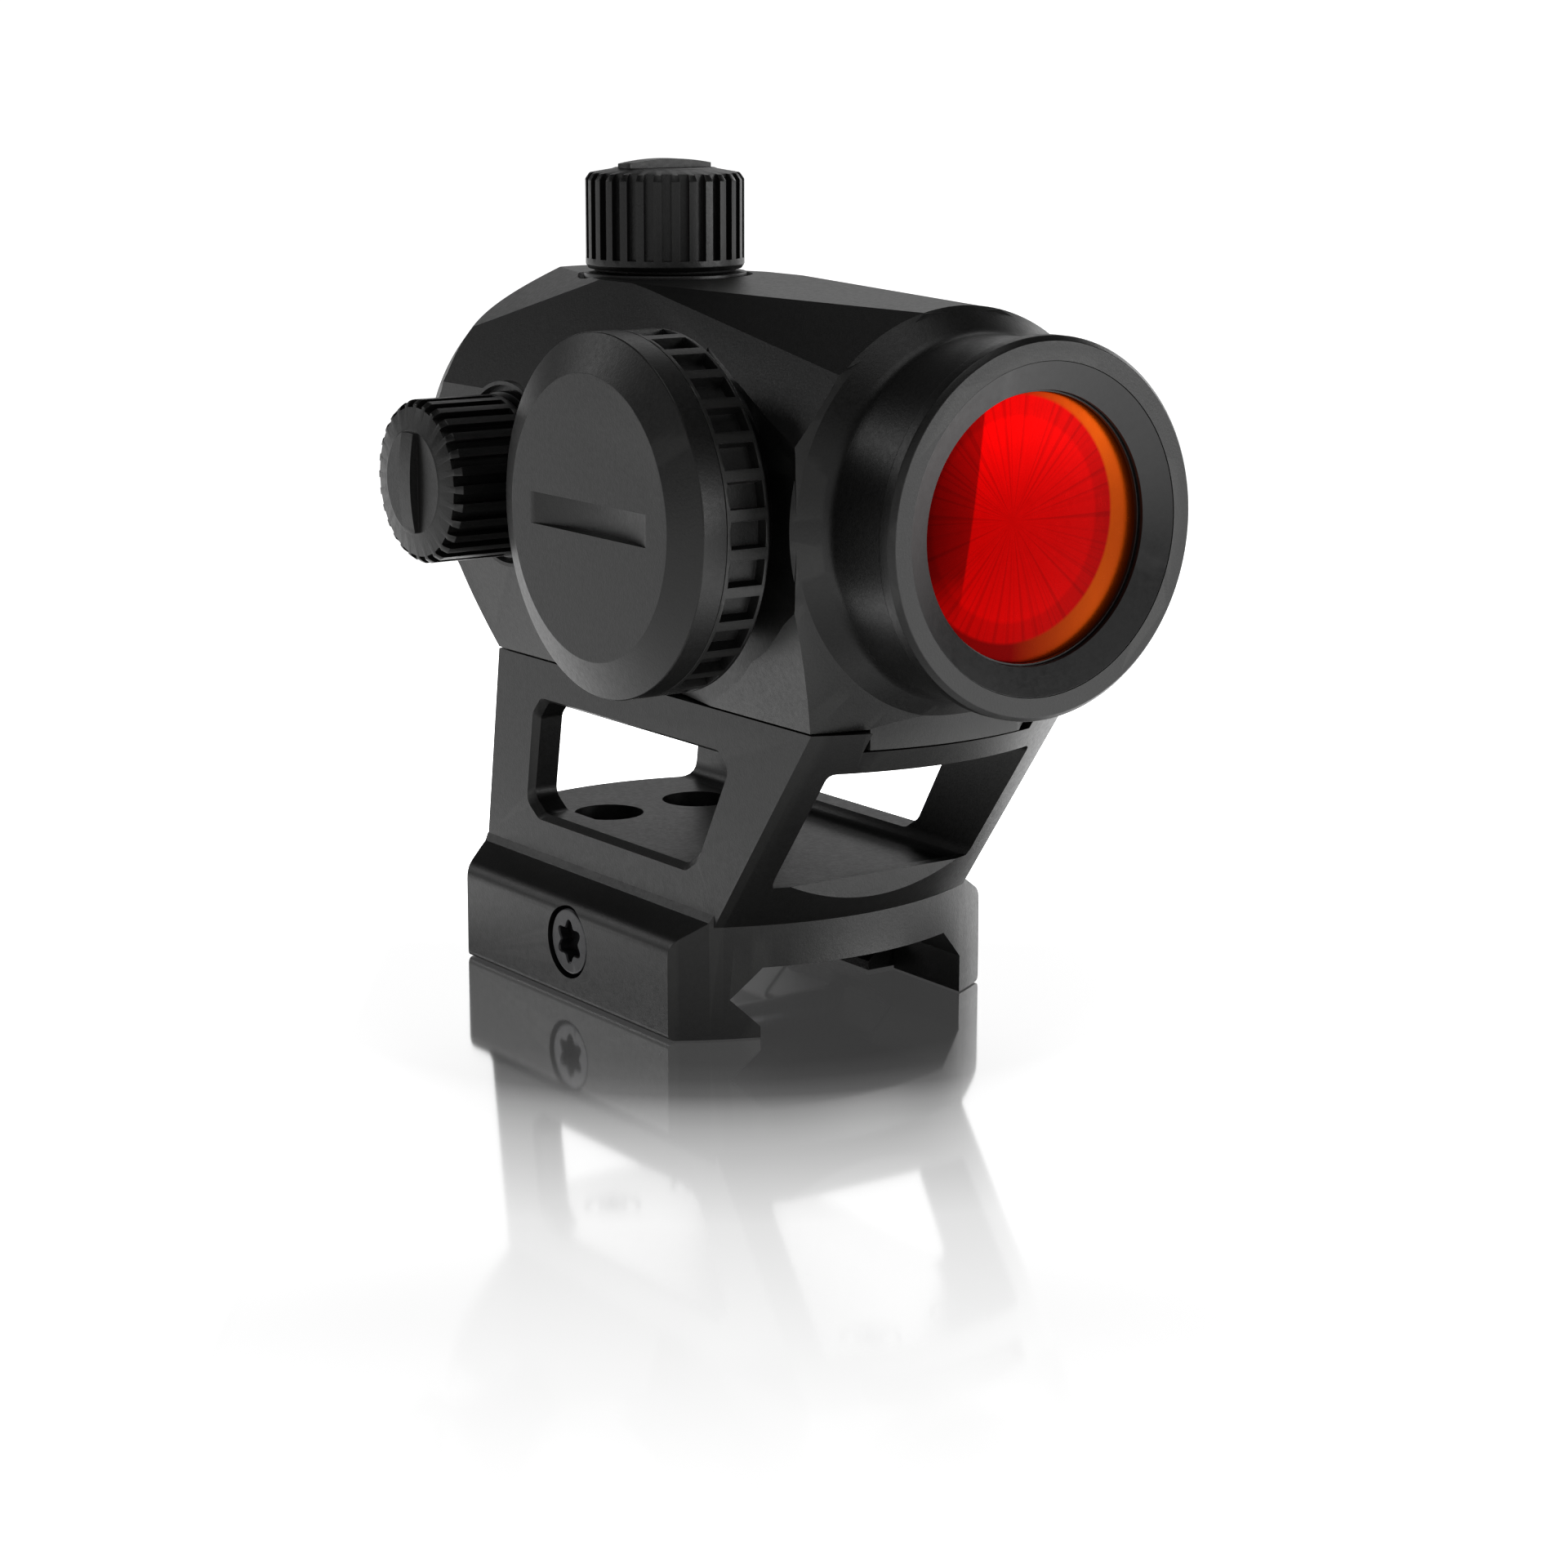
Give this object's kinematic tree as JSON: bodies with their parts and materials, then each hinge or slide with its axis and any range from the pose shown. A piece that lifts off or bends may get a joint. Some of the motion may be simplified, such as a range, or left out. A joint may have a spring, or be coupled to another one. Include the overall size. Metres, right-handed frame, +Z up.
{
  "type": "red dot sight",
  "caption": "Closed-tube red dot sight with side brightness dial, capped elevation and windage turrets, on an open-framed riser that clamps to an accessory rail.",
  "frame": {"origin": "centre of the rail seat, the flat inside the clamp that rests on top of the accessory rail", "axes": "+Z up along the elevation turret, -Y towards the target (the objective end), -X towards the brightness dial and windage turret, which is the user's right"},
  "size_m": [0.0397, 0.0634, 0.0657],
  "materials": {
    "anodised_black": "fine bead-blasted, hard anodised matte black",
    "anodised_insert": "smooth turned, anodised satin black",
    "black_steel": "black oxide, satin",
    "seal_rubber": "matte black nitrile",
    "coated_glass": "polished, red reflective coating",
    "clear_glass": "polished, anti-reflection coated",
    "plated_steel": "nickel plated",
    "spring_steel": "plain spring steel",
    "brass": "turned brass",
    "board_green": "solder resist on glass laminate",
    "diode_red": "moulded clear red"
  },
  "bodies": {
    "sight": {"riser_base": "anodised_black", "mount_screw_1": "black_steel", "mount_screw_2": "black_steel", "mount_screw_3": "black_steel", "mount_screw_4": "black_steel", "housing": "anodised_black", "objective_bezel": "anodised_insert", "objective_seal": "seal_rubber", "eyepiece_lens": "clear_glass", "eyepiece_seal": "seal_rubber", "eyepiece_ring": "anodised_insert", "bias_spring": "spring_steel", "elevation_collar": "anodised_insert", "windage_collar": "anodised_insert", "switch_board": "board_green", "battery_holder": "anodised_insert", "battery": "plated_steel", "battery_contact": "spring_steel"},
    "clamp_screw": {"clamp_screw": "black_steel"},
    "clamp_bar": {"clamp_bar": "anodised_black"},
    "brightness_dial": {"brightness_ring": "anodised_black"},
    "battery_cap_seal": {"battery_cap_seal": "seal_rubber"},
    "battery_cap": {"battery_cap": "anodised_black"},
    "elevation_cap_seal": {"elevation_cap_seal": "seal_rubber"},
    "elevation_cap": {"elevation_cap": "anodised_black"},
    "windage_cap_seal": {"windage_cap_seal": "seal_rubber"},
    "windage_cap": {"windage_cap": "anodised_black"},
    "elevation_screw": {"elevation_screw": "brass"},
    "windage_screw": {"windage_screw": "brass"},
    "gimbal": {"gimbal_ring": "plated_steel"},
    "tube": {"optic_tube": "anodised_insert", "objective_lens": "coated_glass", "lens_retainer": "anodised_insert", "emitter_block": "anodised_insert", "emitter_diode": "diode_red"}
  },
  "joints": [
    {"name": "clamp_screw_turn", "type": "hinge", "parent": "sight", "child": "clamp_screw", "pos_m": [0, -0.0006, -0.0009], "axis": [-1, 0, 0], "range_deg": [-180, 660]},
    {"name": "clamp_bar_slide", "type": "slide", "parent": "sight", "child": "clamp_bar", "axis": [1, 0, 0], "range_m": [-0.00036, 0.0013]},
    {"name": "brightness_turn", "type": "hinge", "parent": "sight", "child": "brightness_dial", "pos_m": [-0.018, -0.01744, 0.0358], "axis": [-1, 0, 0], "range_deg": [0, 330]},
    {"name": "battery_cap_lift", "type": "slide", "parent": "brightness_dial", "child": "battery_cap_seal", "axis": [-1, 0, 0], "range_m": [0, 0.0015]},
    {"name": "battery_cap_turn", "type": "hinge", "parent": "battery_cap_seal", "child": "battery_cap", "pos_m": [-0.018, -0.01744, 0.0358], "axis": [-1, 0, 0], "range_deg": [0, 720]},
    {"name": "elevation_cap_lift", "type": "slide", "parent": "sight", "child": "elevation_cap_seal", "axis": [0, 0, 1], "range_m": [0, 0.003]},
    {"name": "elevation_cap_turn", "type": "hinge", "parent": "elevation_cap_seal", "child": "elevation_cap", "pos_m": [0, 0.0076, 0.05105], "axis": [0, 0, 1], "range_deg": [0, 1440]},
    {"name": "windage_cap_lift", "type": "slide", "parent": "sight", "child": "windage_cap_seal", "axis": [-1, 0, 0], "range_m": [0, 0.003]},
    {"name": "windage_cap_turn", "type": "hinge", "parent": "windage_cap_seal", "child": "windage_cap", "pos_m": [-0.0153, 0.0076, 0.0358], "axis": [-1, 0, 0], "range_deg": [0, 1440]},
    {"name": "elevation_screw_turn", "type": "hinge", "parent": "sight", "child": "elevation_screw", "pos_m": [0, 0.0076, 0.05105], "axis": [0, 0, 1], "range_deg": [-270, 270]},
    {"name": "windage_screw_turn", "type": "hinge", "parent": "sight", "child": "windage_screw", "pos_m": [-0.0153, 0.0076, 0.0358], "axis": [-1, 0, 0], "range_deg": [-270, 270]},
    {"name": "tube_elevation_tilt", "type": "hinge", "parent": "sight", "child": "gimbal", "pos_m": [0, -0.03535, 0.0358], "axis": [1, 0, 0], "range_deg": [-0.5, 0.5]},
    {"name": "tube_windage_tilt", "type": "hinge", "parent": "gimbal", "child": "tube", "pos_m": [0, -0.03535, 0.0358], "axis": [0, 0, 1], "range_deg": [-0.5, 0.5]}
  ],
  "couplings": [
    {"joint": "clamp_bar_slide", "follows": "clamp_screw_turn", "m_per_rad": 0.00011141},
    {"joint": "battery_cap_lift", "follows": "battery_cap_turn", "m_per_rad": 0.00011937},
    {"joint": "elevation_cap_lift", "follows": "elevation_cap_turn", "m_per_rad": 0.00011937},
    {"joint": "windage_cap_lift", "follows": "windage_cap_turn", "m_per_rad": 0.00011937},
    {"joint": "tube_elevation_tilt", "follows": "elevation_screw_turn", "ratio": 0.0018518},
    {"joint": "tube_windage_tilt", "follows": "windage_screw_turn", "ratio": 0.0018518}
  ]
}
